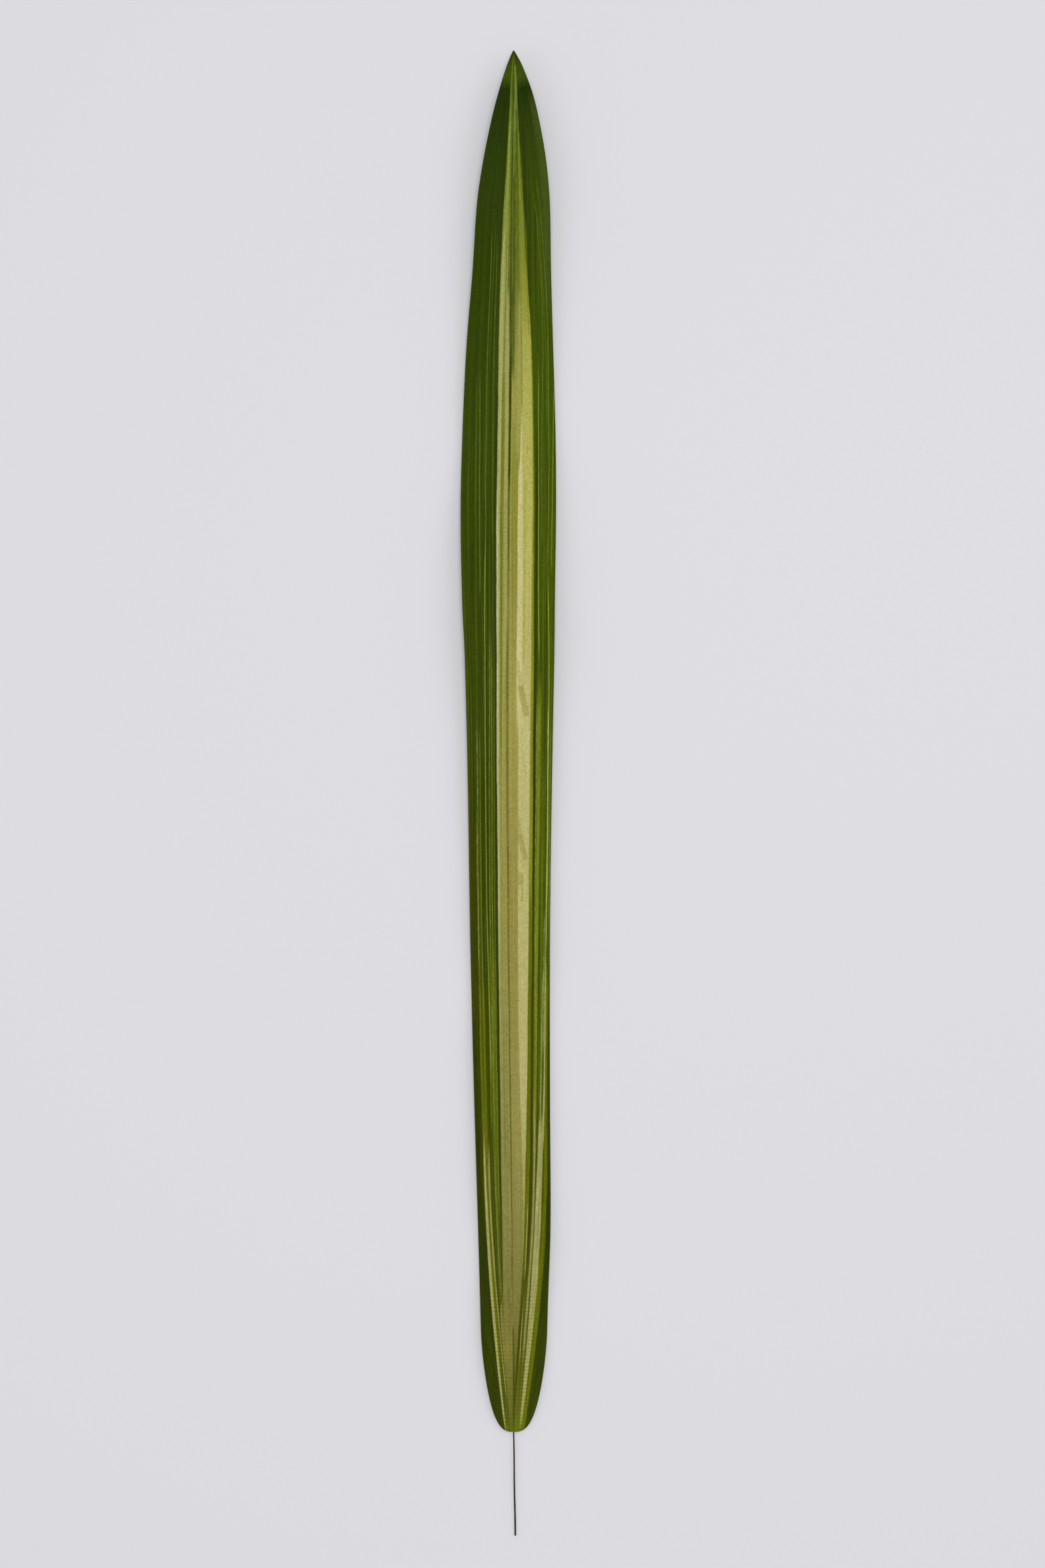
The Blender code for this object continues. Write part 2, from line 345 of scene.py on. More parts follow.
def make_stalk():
    """A slightly fluted rod, extruded ring by ring down its path, with a clean cut at its end."""
    bm = bmesh.new()
    ring = bmesh.ops.create_circle(bm, segments=STALK_SIDES, radius=1, cap_ends=True)["verts"]
    edges = [edge for edge in bm.edges]
    shares = np.linspace(-STALK_ROOT / (STALK_HIGH.y - STALK_LOW.y), 1, STALK_RINGS)
    for index, part in enumerate(shares):
        if index:
            grown = bmesh.ops.extrude_edge_only(bm, edges=edges)["geom"]
            ring = [item for item in grown if isinstance(item, bmesh.types.BMVert)]
            edges = [item for item in grown if isinstance(item, bmesh.types.BMEdge)]
        centre, radius = stalk_ring(float(part))
        for place, point in enumerate(ring):
            turn = 2 * math.pi * place / STALK_SIDES
            flute = 1 - FLUTE_DEPTH * (0.5 + 0.5 * math.cos(STALK_FLUTES * turn + 2 * part))
            point.co = centre + radius * flute * Vector((math.cos(turn), 0, math.sin(turn)))
    bmesh.ops.edgeloop_fill(bm, edges=edges)
    bmesh.ops.recalc_face_normals(bm, faces=bm.faces[:])
    mesh = bpy.data.meshes.new("stalk_rod")
    bm.to_mesh(mesh)
    bm.free()
    mesh.shade_smooth()
    mesh.set_sharp_from_angle(angle=math.radians(50))
    mesh.materials.append(stalk_skin())
    rod = bpy.data.objects.new("stalk_rod", mesh)
    bpy.context.scene.collection.objects.link(rod)
    return rod


# ---------------------------------------------------------------------------------------------------------
# Short ways to build node trees.


def paint(red, green, blue):
    """A linear colour from display values of 0 to 255."""
    linear = []
    for value in (red, green, blue):
        value = value / 255
        linear.append(value / 12.92 if value <= 0.04045 else ((value + 0.055) / 1.055) ** 2.4)
    return (*linear, 1)


class Wiring:
    """A node tree, with one short method for each thing that the materials do in it."""

    def __init__(self, tree):
        self.tree = tree

    def put(self, kind, **settings):
        node = self.tree.nodes.new("ShaderNode" + kind)
        for name, value in settings.items():
            setattr(node, name, value)
        return node

    def feed(self, socket, value):
        if isinstance(value, bpy.types.NodeSocket):
            self.tree.links.new(value, socket)
        else:
            socket.default_value = value

    def maths(self, operation, *values):
        node = self.put("Math", operation=operation)
        for socket, value in zip(node.inputs, values):
            self.feed(socket, value)
        return node.outputs[0]

    def times(self, first, second):
        return self.maths("MULTIPLY", first, second)

    def times_plus(self, first, second, added):
        return self.maths("MULTIPLY_ADD", first, second, added)

    def minus(self, first, second):
        return self.maths("SUBTRACT", first, second)

    def between(self, value, low, high, start=0.0, end=1.0):
        """start below low, end above high, and a smooth step between them."""
        node = self.put("MapRange", interpolation_type="SMOOTHSTEP")
        for name, given in (
            ("Value", value),
            ("From Min", low),
            ("From Max", high),
            ("To Min", start),
            ("To Max", end),
        ):
            self.feed(node.inputs[name], given)
        return node.outputs["Result"]

    def mix(self, share, first, second, blend="MIX"):
        node = self.put("Mix", data_type="RGBA", blend_type=blend)
        self.feed(node.inputs[0], share)
        self.feed(node.inputs[6], first)
        self.feed(node.inputs[7], second)
        return node.outputs[2]

    def ramp(self, value, stops):
        """A colour that changes along value, from (place, display colour) pairs."""
        node = self.put("ValToRGB")
        self.feed(node.inputs["Fac"], value)
        elements = node.color_ramp.elements
        while len(elements) < len(stops):
            elements.new(0.5)
        for element, (place, colour) in zip(elements, sorted(stops)):
            element.position = place
            element.color = paint(*colour)
        return node.outputs["Color"]

    def curve(self, value, points):
        """A smooth curve through (place, height) points, with heights from -1 to 1."""
        node = self.put("FloatCurve")
        self.feed(node.inputs["Value"], value)
        line = node.mapping.curves[0]
        while len(line.points) < len(points):
            line.points.new(0.5, 0.5)
        for point, (place, height) in zip(line.points, sorted(points)):
            point.location = (place, 0.5 + height / 2)
        node.mapping.update()
        return self.times_plus(node.outputs["Value"], 2.0, -1.0)

    def vector(self, x, y, z=0.0):
        node = self.put("CombineXYZ")
        for socket, value in zip(node.inputs, (x, y, z)):
            self.feed(socket, value)
        return node.outputs[0]

    def noise(self, vector, scale=1.0, detail=2.0, roughness=0.5):
        node = self.put("TexNoise")
        self.feed(node.inputs["Vector"], vector)
        for name, value in (("Scale", scale), ("Detail", detail), ("Roughness", roughness)):
            node.inputs[name].default_value = value
        return node.outputs["Fac"]

    def use(self, group, **values):
        """A copy of a node group, fed by input names with _ for a space."""
        node = self.put("Group", node_tree=group)
        for name, value in values.items():
            self.feed(node.inputs[name.replace("_", " ")], value)
        return node.outputs


def new_group(name, inputs, outputs):
    """A shader node group with (name, kind) sockets, its wiring and its input and output nodes."""
    group = bpy.data.node_groups.new(name, "ShaderNodeTree")
    for label, kind in inputs:
        group.interface.new_socket(label, in_out="INPUT", socket_type="NodeSocket" + kind)
    for label, kind in outputs:
        group.interface.new_socket(label, in_out="OUTPUT", socket_type="NodeSocket" + kind)
    wiring = Wiring(group)
    given = group.nodes.new("NodeGroupInput").outputs
    result = group.nodes.new("NodeGroupOutput").inputs
    return group, wiring, given, result


def new_material(name, roughness, specular):
    """A material with its wiring and its Principled shader."""
    material = bpy.data.materials.new(name)
    material.use_nodes = True
    shader = material.node_tree.nodes["Principled BSDF"]
    shader.inputs["Roughness"].default_value = roughness
    shader.inputs["Specular IOR Level"].default_value = specular
    return material, Wiring(material.node_tree), shader


# ---------------------------------------------------------------------------------------------------------
# Effects that several materials share.


def vein_stripe_group():
    """Paints one stripe along the veins over a colour.

    Its middle runs in a gentle curve through three places across the blade: at its base end, halfway and at
    its tip end. Breakup lets the grain show through it, and Waning dims it from place to place.

    Along is handed on, moved by a hair, so that the stripes of a material are worked out one after another:
    a renderer has little room for values that wait.
    """
    floats = (
        "Across", "Along", "Grain", "Waning", "Base End", "Tip End", "At Base", "At Middle", "At Tip",
        "Base Half Width", "Tip Half Width", "Softness", "Strength", "Breakup", "Fade",
    )
    inputs = [("Under", "Color"), ("Stripe", "Color")] + [(name, "Float") for name in floats]
    group, w, given, result = new_group("vein stripe", inputs, [("Color", "Color"), ("Along", "Float")])
    run = w.minus(given["Tip End"], given["Base End"])
    part = w.maths("DIVIDE", w.minus(given["Along"], given["Base End"]), run)
    rest = w.minus(1.0, part)
    fade_in = w.between(part, 0.0, given["Fade"])
    fade_out = w.between(rest, 0.0, given["Fade"])
    straight = w.maths("ADD", w.times(given["At Base"], rest), w.times(given["At Tip"], part))
    chord = w.times(w.maths("ADD", given["At Base"], given["At Tip"]), 0.5)
    bow = w.times(w.minus(given["At Middle"], chord), 4.0)
    hump = w.times(part, rest)
    centre = w.times_plus(bow, hump, straight)
    away = w.maths("ABSOLUTE", w.minus(given["Across"], centre))
    growth = w.minus(given["Tip Half Width"], given["Base Half Width"])
    half = w.times_plus(growth, part, given["Base Half Width"])
    inner = w.minus(half, given["Softness"])
    outer = w.maths("ADD", half, given["Softness"])
    band = w.between(away, inner, outer, 1.0, 0.0)
    broken = w.minus(1.0, w.times(given["Breakup"], w.between(given["Grain"], 0.38, 0.62, 1.0, 0.0)))
    ends = w.times(fade_in, fade_out)
    mask = w.times(w.times(ends, band), given["Strength"])
    mask = w.times(w.times(mask, broken), given["Waning"])
    w.feed(result["Along"], w.times_plus(mask, 0.00001, given["Along"]))
    w.feed(result["Color"], w.mix(mask, given["Under"], given["Stripe"]))
    return group


def streak_group():
    """Fine streaks along the veins, from -1 to 1: Pitch is how many to a half width."""
    group, w, given, result = new_group(
        "vein streaks",
        [("Across", "Float"), ("Along", "Float"), ("Pitch", "Float"), ("Run", "Float")],
        [("Streaks", "Float")],
    )
    place = w.vector(
        w.times(given["Across"], given["Pitch"]), w.times(given["Along"], given["Run"])
    )
    value = w.noise(place, detail=2.0, roughness=0.6)
    w.feed(result["Streaks"], w.between(value, 0.3, 0.7, -1.0, 1.0))
    return group


def grain_group():
    """The fine mottling of the tissue and its cross veinlets, from -1 to 1, on object coordinates."""
    group, w, given, result = new_group(
        "tissue grain",
        [("Place", "Vector"), ("Fineness", "Float"), ("Cross Veins", "Float")],
        [("Grain", "Float")],
    )
    fine = w.put("VectorMath", operation="SCALE")
    w.feed(fine.inputs[0], given["Place"])
    w.feed(fine.inputs["Scale"], given["Fineness"])
    speckle = w.between(w.noise(fine.outputs[0], detail=3.0, roughness=0.7), 0.25, 0.75, -1.0, 1.0)
    squeezed = w.put("VectorMath", operation="MULTIPLY")
    w.feed(squeezed.inputs[0], fine.outputs[0])
    squeezed.inputs[1].default_value = (0.42, 1.0, 1.0)
    cross = w.between(w.noise(squeezed.outputs[0], detail=3.0, roughness=0.7), 0.3, 0.7, -1.0, 1.0)
    share = given["Cross Veins"]
    w.feed(
        result["Grain"],
        w.maths(
            "ADD",
            w.times(speckle, w.minus(1.0, share)),
            w.times(cross, share),
        ),
    )
    return group


def bruise_group():
    """A slanted worn patch: a soft-ended bar with a torn outline. Sizes are in millimetres."""
    floats = ("X", "Y", "Raggedness", "At X", "At Y", "Slant", "Half Length", "Half Width", "Strength")
    group, w, given, result = new_group(
        "bruise",
        [("Under", "Color"), ("Bruise", "Color")] + [(name, "Float") for name in floats],
        [("Color", "Color")],
    )
    dx = w.minus(given["X"], given["At X"])
    dy = w.minus(given["Y"], given["At Y"])
    cosine, sine = w.maths("COSINE", given["Slant"]), w.maths("SINE", given["Slant"])
    lengthways = w.maths("ADD", w.times(dx, sine), w.times(dy, cosine))
    sideways = w.minus(w.times(dx, cosine), w.times(dy, sine))
    far = w.maths("ADD", w.maths("ABSOLUTE", lengthways), given["Raggedness"])
    wide = w.maths("ADD", w.maths("ABSOLUTE", sideways), given["Raggedness"])
    inside = w.times(
        w.between(w.minus(far, given["Half Length"]), -0.25, 0.35, 1.0, 0.0),
        w.between(w.minus(wide, given["Half Width"]), -0.15, 0.25, 1.0, 0.0),
    )
    mask = w.times(inside, given["Strength"])
    w.feed(result["Color"], w.mix(mask, given["Under"], given["Bruise"]))
    return group


VEIN_STRIPE = vein_stripe_group()
STREAKS = streak_group()
GRAIN = grain_group()
BRUISE = bruise_group()

# ---------------------------------------------------------------------------------------------------------
# The face's colours, as display values.

DARK = paint(42, 54, 1)
DEEP = paint(58, 60, 2)
OLIVE = paint(112, 117, 28)
MOSS = paint(78, 92, 6)
LIME = paint(104, 117, 22)
BRIGHT = paint(140, 155, 62)
SILVER = paint(170, 172, 112)
STRAW = paint(172, 169, 102)
BUFF = paint(152, 150, 82)
UMBER = paint(90, 86, 14)
PINK_CREAM = paint(197, 189, 129)
OLIVE_LIME = paint(102, 108, 4)
YELLOW_LIME = paint(138, 140, 36)
BROWN_GREEN = paint(62, 60, 3)

# Greens of the two margins from base to tip. Their dark stops from 0.955 to 0.974 are the painted shadow of
# a clip that held the tip: a soft darker band across the blade.
LEFT_GREEN = (
    (0.00, (96, 104, 14)), (0.02, (80, 84, 11)),
    (0.05, (82, 86, 10)), (0.10, (66, 74, 4)),
    (0.20, (60, 70, 2)), (0.32, (56, 66, 2)),
    (0.45, (56, 66, 1)), (0.62, (52, 66, 1)),
    (0.80, (48, 64, 1)), (0.90, (42, 59, 1)),
    # painted shadow of the clip, from 0.955 to 0.974
    (0.955, (32, 50, 1)), (0.968, (30, 45, 1)),
    (0.974, (31, 46, 2)), (0.979, (62, 79, 9)),
    (0.989, (60, 77, 8)), (1.00, (40, 56, 5)),
)
RIGHT_GREEN = (
    (0.00, (108, 116, 16)), (0.02, (98, 102, 24)),
    (0.05, (90, 92, 14)), (0.10, (80, 84, 6)),
    (0.20, (66, 76, 3)), (0.32, (66, 77, 2)),
    (0.45, (66, 78, 1)), (0.62, (66, 82, 2)),
    (0.80, (60, 78, 2)), (0.90, (56, 74, 4)),
    # painted shadow of the clip, from 0.955 to 0.974
    (0.955, (38, 55, 2)), (0.968, (27, 43, 1)),
    (0.974, (27, 44, 1)), (0.979, (62, 79, 15)),
    (0.989, (60, 77, 12)), (1.00, (40, 56, 6)),
)
# The pale middle: its left part, its right part beside the midrib, and the palest part right of that. The
# dip of the left and right parts at 0.97 to 0.975 is the same painted shadow of the clip.
LEFT_PALE = (
    (0.00, (90, 96, 18)), (0.03, (104, 106, 36)), (0.06, (124, 118, 50)),
    (0.10, (116, 112, 50)), (0.15, (130, 126, 65)), (0.22, (130, 126, 65)),
    (0.32, (143, 138, 69)), (0.46, (148, 142, 70)), (0.54, (140, 137, 64)),
    (0.66, (134, 135, 58)), (0.76, (147, 148, 78)), (0.82, (148, 150, 80)),
    (0.87, (132, 141, 58)), (0.905, (110, 124, 40)), (0.93, (94, 110, 33)),
    # painted shadow of the clip, at 0.975
    (0.96, (76, 94, 20)), (0.975, (56, 74, 8)),
    (0.983, (80, 100, 20)), (1.00, (44, 60, 6)),
)
RIGHT_PALE = (
    (0.00, (84, 92, 14)), (0.03, (80, 86, 14)), (0.055, (104, 102, 32)),
    (0.08, (120, 114, 52)), (0.14, (130, 125, 62)), (0.22, (143, 136, 69)),
    (0.34, (142, 134, 65)), (0.46, (147, 140, 66)), (0.53, (153, 145, 69)),
    (0.62, (138, 134, 54)), (0.70, (132, 132, 48)), (0.75, (150, 148, 65)),
    (0.79, (134, 134, 56)), (0.84, (94, 107, 20)), (0.90, (82, 97, 11)),
    # painted shadow of the clip, at 0.97
    (0.93, (74, 90, 6)), (0.97, (52, 70, 6)),
    (0.983, (80, 98, 22)), (1.00, (44, 60, 6)),
)
PALEST = (
    (0.00, (92, 98, 24)), (0.08, (100, 96, 34)), (0.13, (136, 132, 64)),
    (0.18, (156, 151, 82)), (0.24, (178, 170, 108)), (0.34, (179, 172, 108)),
    (0.42, (180, 173, 110)), (0.50, (188, 180, 117)), (0.56, (182, 175, 104)),
    (0.64, (180, 176, 94)), (0.72, (176, 174, 90)), (0.79, (164, 163, 76)),
    (0.82, (142, 145, 50)), (0.86, (114, 122, 32)), (0.90, (92, 106, 18)),
    (0.94, (84, 98, 12)), (1.00, (60, 78, 12)),
)

# Where the pale middle ends on the left and on the right, and where its palest part begins.
PALE_LEFT = (
    (0.00, -0.44), (0.03, -0.52), (0.06, -0.57), (0.083, -0.56),
    (0.10, -0.40), (0.14, -0.330), (0.20, -0.296),
    (0.30, -0.268), (0.45, -0.260), (0.56, -0.254), (0.65, -0.243), (0.74, -0.266), (0.80, -0.280),
    (0.84, -0.288), (0.88, -0.262), (0.91, -0.222), (0.96, -0.215), (0.985, -0.25), (1.00, -0.25),
)
PALE_RIGHT = (
    (0.00, 0.05), (0.04, 0.12), (0.07, 0.22), (0.10, 0.29), (0.14, 0.335), (0.20, 0.372), (0.26, 0.436),
    (0.32, 0.476), (0.42, 0.505), (0.55, 0.512), (0.66, 0.515), (0.75, 0.490), (0.80, 0.468),
    (0.85, 0.365), (0.88, 0.300), (0.92, 0.240), (0.96, 0.190), (0.985, 0.25), (1.00, 0.25),
)
PALEST_LEFT = (
    (0.00, 0.30), (0.08, 0.27), (0.13, 0.305), (0.18, 0.290),
    (0.22, 0.262), (0.26, 0.236), (0.34, 0.228),
    (0.45, 0.244), (0.52, 0.240), (0.57, 0.222), (0.62, 0.205), (0.67, 0.195), (0.72, 0.245),
    (0.76, 0.265), (0.82, 0.225), (0.86, 0.190), (0.90, 0.170), (1.00, 0.150),
)

STRIPE_INPUTS = (
    "Stripe", "Base_End", "Tip_End", "At_Base", "At_Middle", "At_Tip",
    "Base_Half_Width", "Tip_Half_Width", "Softness", "Strength", "Breakup",
)
# Stripes, from the widest and faintest to the finest, each row in the order of STRIPE_INPUTS.
STRIPES = (
    # Green tissue, and a painted sheen on the right margin near the tip.
    (DARK, 0.11, 0.8, -0.35, -0.283, -0.3, 0.03, 0.034, 0.016, 0.92, 0.1),
    (DARK, 0.3, 0.74, 0.585, 0.602, 0.598, 0.022, 0.034, 0.018, 0.9, 0.1),
    (DARK, 0.84, 0.98, 0.39, 0.34, 0.37, 0.03, 0.06, 0.03, 0.85, 0.0),
    (DARK, 0.84, 0.97, -0.3, -0.29, -0.32, 0.03, 0.06, 0.03, 0.7, 0.0),
    (DEEP, 0.06, 0.5, -1.06, -0.88, -0.93, 0.14, 0.06, 0.04, 0.92, 0.1),
    (DARK, -0.02, 0.16, -2.0, -1.44, -1.0, 0.95, 0.14, 0.03, 0.92, 0.05),
    (DARK, -0.02, 0.18, 2.15, 1.56, 1.03, 0.95, 0.11, 0.04, 0.92, 0.05),
    (DARK, 0.1, 0.31, -1.05, -0.97, -0.98, 0.12, 0.06, 0.04, 0.85, 0.05),
    (DARK, 0.12, 0.32, 1.05, 1.01, 1.01, 0.11, 0.06, 0.05, 0.9, 0.0),
    # Painted sheen: a greyer green where light glances off the right margin near the tip.
    (paint(72, 88, 32), 0.8, 0.975, 0.9, 0.88, 0.86, 0.06, 0.13, 0.06, 0.6, 0.1),
    (paint(100, 108, 14), 0.055, 0.37, -0.44, -0.45, -0.44, 0.02, 0.09, 0.04, 0.8, 0.3),
    (OLIVE_LIME, 0.03, 0.34, -0.8, -0.705, -0.69, 0.07, 0.03, 0.02, 0.85, 0.15),
    (OLIVE_LIME, 0.1, 0.4, 0.36, 0.47, 0.548, 0.05, 0.045, 0.014, 0.9, 0.15),
    (YELLOW_LIME, 0.36, 0.81, 0.532, 0.528, 0.488, 0.046, 0.008, 0.014, 0.92, 0.1),
    (OLIVE_LIME, 0.14, 0.34, 0.89, 0.89, 0.95, 0.05, 0.026, 0.02, 0.9, 0.1),
    (OLIVE_LIME, -0.02, 0.17, 1.06, 0.99, 0.865, 0.13, 0.05, 0.03, 0.9, 0.05),
    (paint(122, 134, 28), 0.17, 0.56, 0.585, 0.684, 0.692, 0.04, 0.038, 0.02, 0.92, 0.25),
    (paint(92, 106, 14), 0.18, 0.5, 0.76, 0.8, 0.81, 0.05, 0.04, 0.03, 0.7, 0.45),
    (DARK, 0.43, 0.66, -0.62, -0.62, -0.59, 0.05, 0.04, 0.03, 0.6, 0.2),
    (DARK, 0.42, 0.66, -0.84, -0.815, -0.79, 0.05, 0.06, 0.04, 0.6, 0.2),
    (paint(106, 115, 24), 0.2, 0.46, -0.765, -0.778, -0.8, 0.034, 0.014, 0.014, 0.85, 0.35),
    # The left part of the pale middle.
    (paint(84, 98, 22), 0.815, 0.97, -0.065, -0.055, -0.04, 0.05, 0.028, 0.016, 0.85, 0.0),
    (paint(148, 160, 76), 0.86, 0.965, -0.165, -0.15, -0.145, 0.03, 0.03, 0.02, 0.75, 0.2),
    (paint(96, 116, 32), 0.945, 0.995, -0.14, -0.15, -0.2, 0.05, 0.08, 0.02, 0.75, 0.0),
    (paint(114, 134, 52), 0.955, 0.992, 0.09, 0.12, 0.18, 0.05, 0.08, 0.02, 0.8, 0.0),
    (paint(46, 62, 4), 0.95, 0.995, -0.02, -0.015, 0.0, 0.03, 0.05, 0.03, 0.7, 0.0),
    (paint(166, 166, 102), 0.74, 0.875, -0.212, -0.226, -0.215, 0.044, 0.02, 0.014, 0.75, 0.2),
    (SILVER, 0.33, 0.78, -0.23, -0.222, -0.208, 0.02, 0.044, 0.014, 0.8, 0.25),
    (paint(184, 187, 132), 0.46, 0.68, -0.24, -0.232, -0.23, 0.014, 0.018, 0.012, 0.75, 0.35),
    (BUFF, 0.2, 0.4, -0.24, -0.236, -0.24, 0.03, 0.026, 0.016, 0.5, 0.6),
    (paint(103, 108, 18), 0.47, 0.78, -0.16, -0.148, -0.148, 0.016, 0.044, 0.014, 0.92, 0.22),
    (paint(108, 114, 30), 0.735, 0.9, -0.15, -0.148, -0.14, 0.018, 0.014, 0.01, 0.88, 0.25),
    (OLIVE, 0.29, 0.54, -0.172, -0.174, -0.178, 0.007, 0.007, 0.005, 0.85, 0.35),
    (OLIVE, 0.39, 0.54, -0.148, -0.147, -0.147, 0.004, 0.006, 0.005, 0.6, 0.5),
    (paint(155, 154, 87), 0.53, 0.83, -0.065, -0.062, -0.086, 0.034, 0.038, 0.012, 0.88, 0.1),
    (OLIVE, 0.19, 0.3, -0.182, -0.168, -0.165, 0.02, 0.012, 0.01, 0.9, 0.45),
    # Along the midrib.
    (UMBER, 0.06, 0.62, -0.012, 0.0, 0.002, 0.018, 0.024, 0.018, 0.9, 0.1),
    (paint(76, 76, 4), 0.59, 0.8, 0.002, 0.002, 0.0, 0.01, 0.03, 0.012, 0.95, 0.05),
    (paint(50, 59, 1), 0.68, 0.84, 0.0, 0.0, 0.0, 0.022, 0.034, 0.014, 0.92, 0.05),
    (paint(62, 75, 8), 0.78, 0.955, -0.02, -0.024, -0.02, 0.034, 0.026, 0.012, 0.9, 0.05),
    (paint(66, 78, 8), 0.755, 0.94, 0.06, 0.054, 0.03, 0.03, 0.016, 0.014, 0.9, 0.05),
    (DEEP, 0.0, 0.08, 0.0, 0.0, 0.0, 0.09, 0.03, 0.05, 0.8, 0.1),
    (paint(88, 100, 42), 0.77, 0.93, 0.004, 0.005, 0.003, 0.005, 0.008, 0.006, 0.85, 0.15),
    (paint(152, 152, 84), 0.545, 0.78, 0.06, 0.05, 0.04, 0.01, 0.007, 0.005, 0.85, 0.15),
    (paint(112, 96, 28), 0.57, 0.67, 0.1, 0.09, 0.078, 0.004, 0.004, 0.003, 0.8, 0.1),
    # The right part of the pale middle.
    (paint(106, 125, 54), 0.905, 0.967, 0.03, 0.045, 0.09, 0.006, 0.06, 0.014, 0.9, 0.0),
    (paint(120, 131, 40), 0.84, 0.945, 0.25, 0.214, 0.165, 0.04, 0.012, 0.018, 0.85, 0.15),
    (paint(160, 155, 84), 0.7, 0.83, 0.2, 0.195, 0.19, 0.05, 0.03, 0.02, 0.7, 0.25),
    (PINK_CREAM, 0.5, 0.75, 0.275, 0.25, 0.262, 0.074, 0.008, 0.014, 0.9, 0.05),
    (PINK_CREAM, 0.54, 0.71, 0.26, 0.256, 0.236, 0.064, 0.044, 0.012, 0.85, 0.05),
    (paint(112, 115, 32), 0.735, 0.85, 0.266, 0.256, 0.24, 0.009, 0.009, 0.006, 0.88, 0.2),
    (paint(150, 152, 44), 0.55, 0.7, 0.35, 0.345, 0.335, 0.03, 0.024, 0.02, 0.75, 0.75),
    (paint(112, 118, 20), 0.79, 0.88, 0.425, 0.395, 0.335, 0.012, 0.012, 0.008, 0.75, 0.1),
    # Pale strips at the base.
    (STRAW, -0.01, 0.225, -0.97, -0.828, -0.752, 0.08, 0.02, 0.016, 0.92, 0.1),
    (BUFF, 0.015, 0.215, -0.535, -0.657, -0.617, 0.036, 0.02, 0.01, 0.95, 0.1),
    (paint(132, 134, 56), 0.09, 0.21, -0.49, -0.476, -0.462, 0.018, 0.014, 0.01, 0.75, 0.4),
    (STRAW, 0.105, 0.235, 0.75, 0.726, 0.785, 0.11, 0.045, 0.02, 0.9, 0.1),
    (STRAW, 0.0, 0.125, 0.72, 0.757, 0.75, 0.11, 0.11, 0.026, 0.85, 0.1),
    (STRAW, 0.2, 0.34, 0.745, 0.785, 0.842, 0.016, 0.008, 0.01, 0.85, 0.4),
    (STRAW, 0.2, 0.35, 0.812, 0.872, 0.905, 0.02, 0.014, 0.01, 0.92, 0.15),
    (BUFF, 0.045, 0.25, 0.52, 0.58, 0.602, 0.05, 0.014, 0.014, 0.88, 0.2),
    (STRAW, 0.045, 0.17, 0.33, 0.405, 0.436, 0.016, 0.012, 0.009, 0.88, 0.25),
    (BROWN_GREEN, 0.0, 0.13, -0.42, -0.578, -0.612, 0.028, 0.02, 0.012, 0.92, 0.05),
    (BROWN_GREEN, 0.11, 0.34, -0.612, -0.586, -0.575, 0.02, 0.016, 0.01, 0.9, 0.1),
    (BROWN_GREEN, 0.012, 0.12, 0.05, 0.275, 0.44, 0.045, 0.034, 0.016, 0.92, 0.1),
    (BROWN_GREEN, 0.1, 0.34, 0.44, 0.522, 0.582, 0.034, 0.024, 0.014, 0.9, 0.1),
    (BROWN_GREEN, 0.07, 0.22, 0.618, 0.628, 0.65, 0.006, 0.014, 0.008, 0.8, 0.5),
    (BROWN_GREEN, 0.2, 0.37, 0.655, 0.7, 0.738, 0.016, 0.014, 0.01, 0.85, 0.1),
    (BROWN_GREEN, 0.12, 0.25, 0.74, 0.762, 0.8, 0.004, 0.008, 0.006, 0.6, 0.8),
    (BROWN_GREEN, 0.08, 0.135, -0.42, -0.41, -0.4, 0.012, 0.016, 0.012, 0.8, 0.5),
    (UMBER, 0.105, 0.13, -0.05, -0.046, -0.04, 0.016, 0.014, 0.01, 0.8, 0.3),
    (UMBER, 0.09, 0.105, -0.165, -0.165, -0.165, 0.012, 0.012, 0.01, 0.7, 0.3),
    (UMBER, 0.078, 0.095, -0.09, -0.088, -0.086, 0.014, 0.014, 0.012, 0.7, 0.3),
    (LIME, 0.15, 0.33, -0.386, -0.372, -0.36, 0.02, 0.016, 0.01, 0.85, 0.3),
    (LIME, 0.215, 0.34, -0.536, -0.534, -0.536, 0.013, 0.012, 0.008, 0.85, 0.2),
    # Fine bright veins in the left margin.
    (BRIGHT, 0.24, 0.67, -0.5, -0.553, -0.468, 0.009, 0.009, 0.007, 0.9, 0.15),
    (paint(104, 122, 42), 0.65, 0.88, -0.468, -0.514, -0.546, 0.008, 0.007, 0.007, 0.85, 0.3),
    (MOSS, 0.77, 0.88, -0.452, -0.474, -0.44, 0.008, 0.007, 0.007, 0.8, 0.3),
    (paint(88, 107, 20), 0.63, 0.88, -0.312, -0.37, -0.405, 0.012, 0.012, 0.01, 0.75, 0.55),
    (paint(106, 124, 42), 0.598, 0.776, -0.612, -0.611, -0.678, 0.009, 0.007, 0.006, 0.9, 0.15),
    (paint(80, 98, 16), 0.5, 0.78, -0.766, -0.688, -0.754, 0.009, 0.009, 0.008, 0.85, 0.25),
    (paint(102, 115, 28), 0.3, 0.516, -0.695, -0.69, -0.69, 0.013, 0.008, 0.008, 0.9, 0.15),
    (paint(138, 156, 82), 0.33, 0.52, -0.795, -0.768, -0.756, 0.01, 0.01, 0.006, 0.85, 0.65),
    (paint(110, 122, 26), 0.25, 0.585, -0.425, -0.4, -0.368, 0.014, 0.012, 0.01, 0.88, 0.4),
    (paint(132, 146, 58), 0.33, 0.59, -0.48, -0.45, -0.418, 0.008, 0.008, 0.006, 0.8, 0.6),
    (LIME, 0.2, 0.56, -0.36, -0.345, -0.32, 0.011, 0.008, 0.008, 0.75, 0.45),
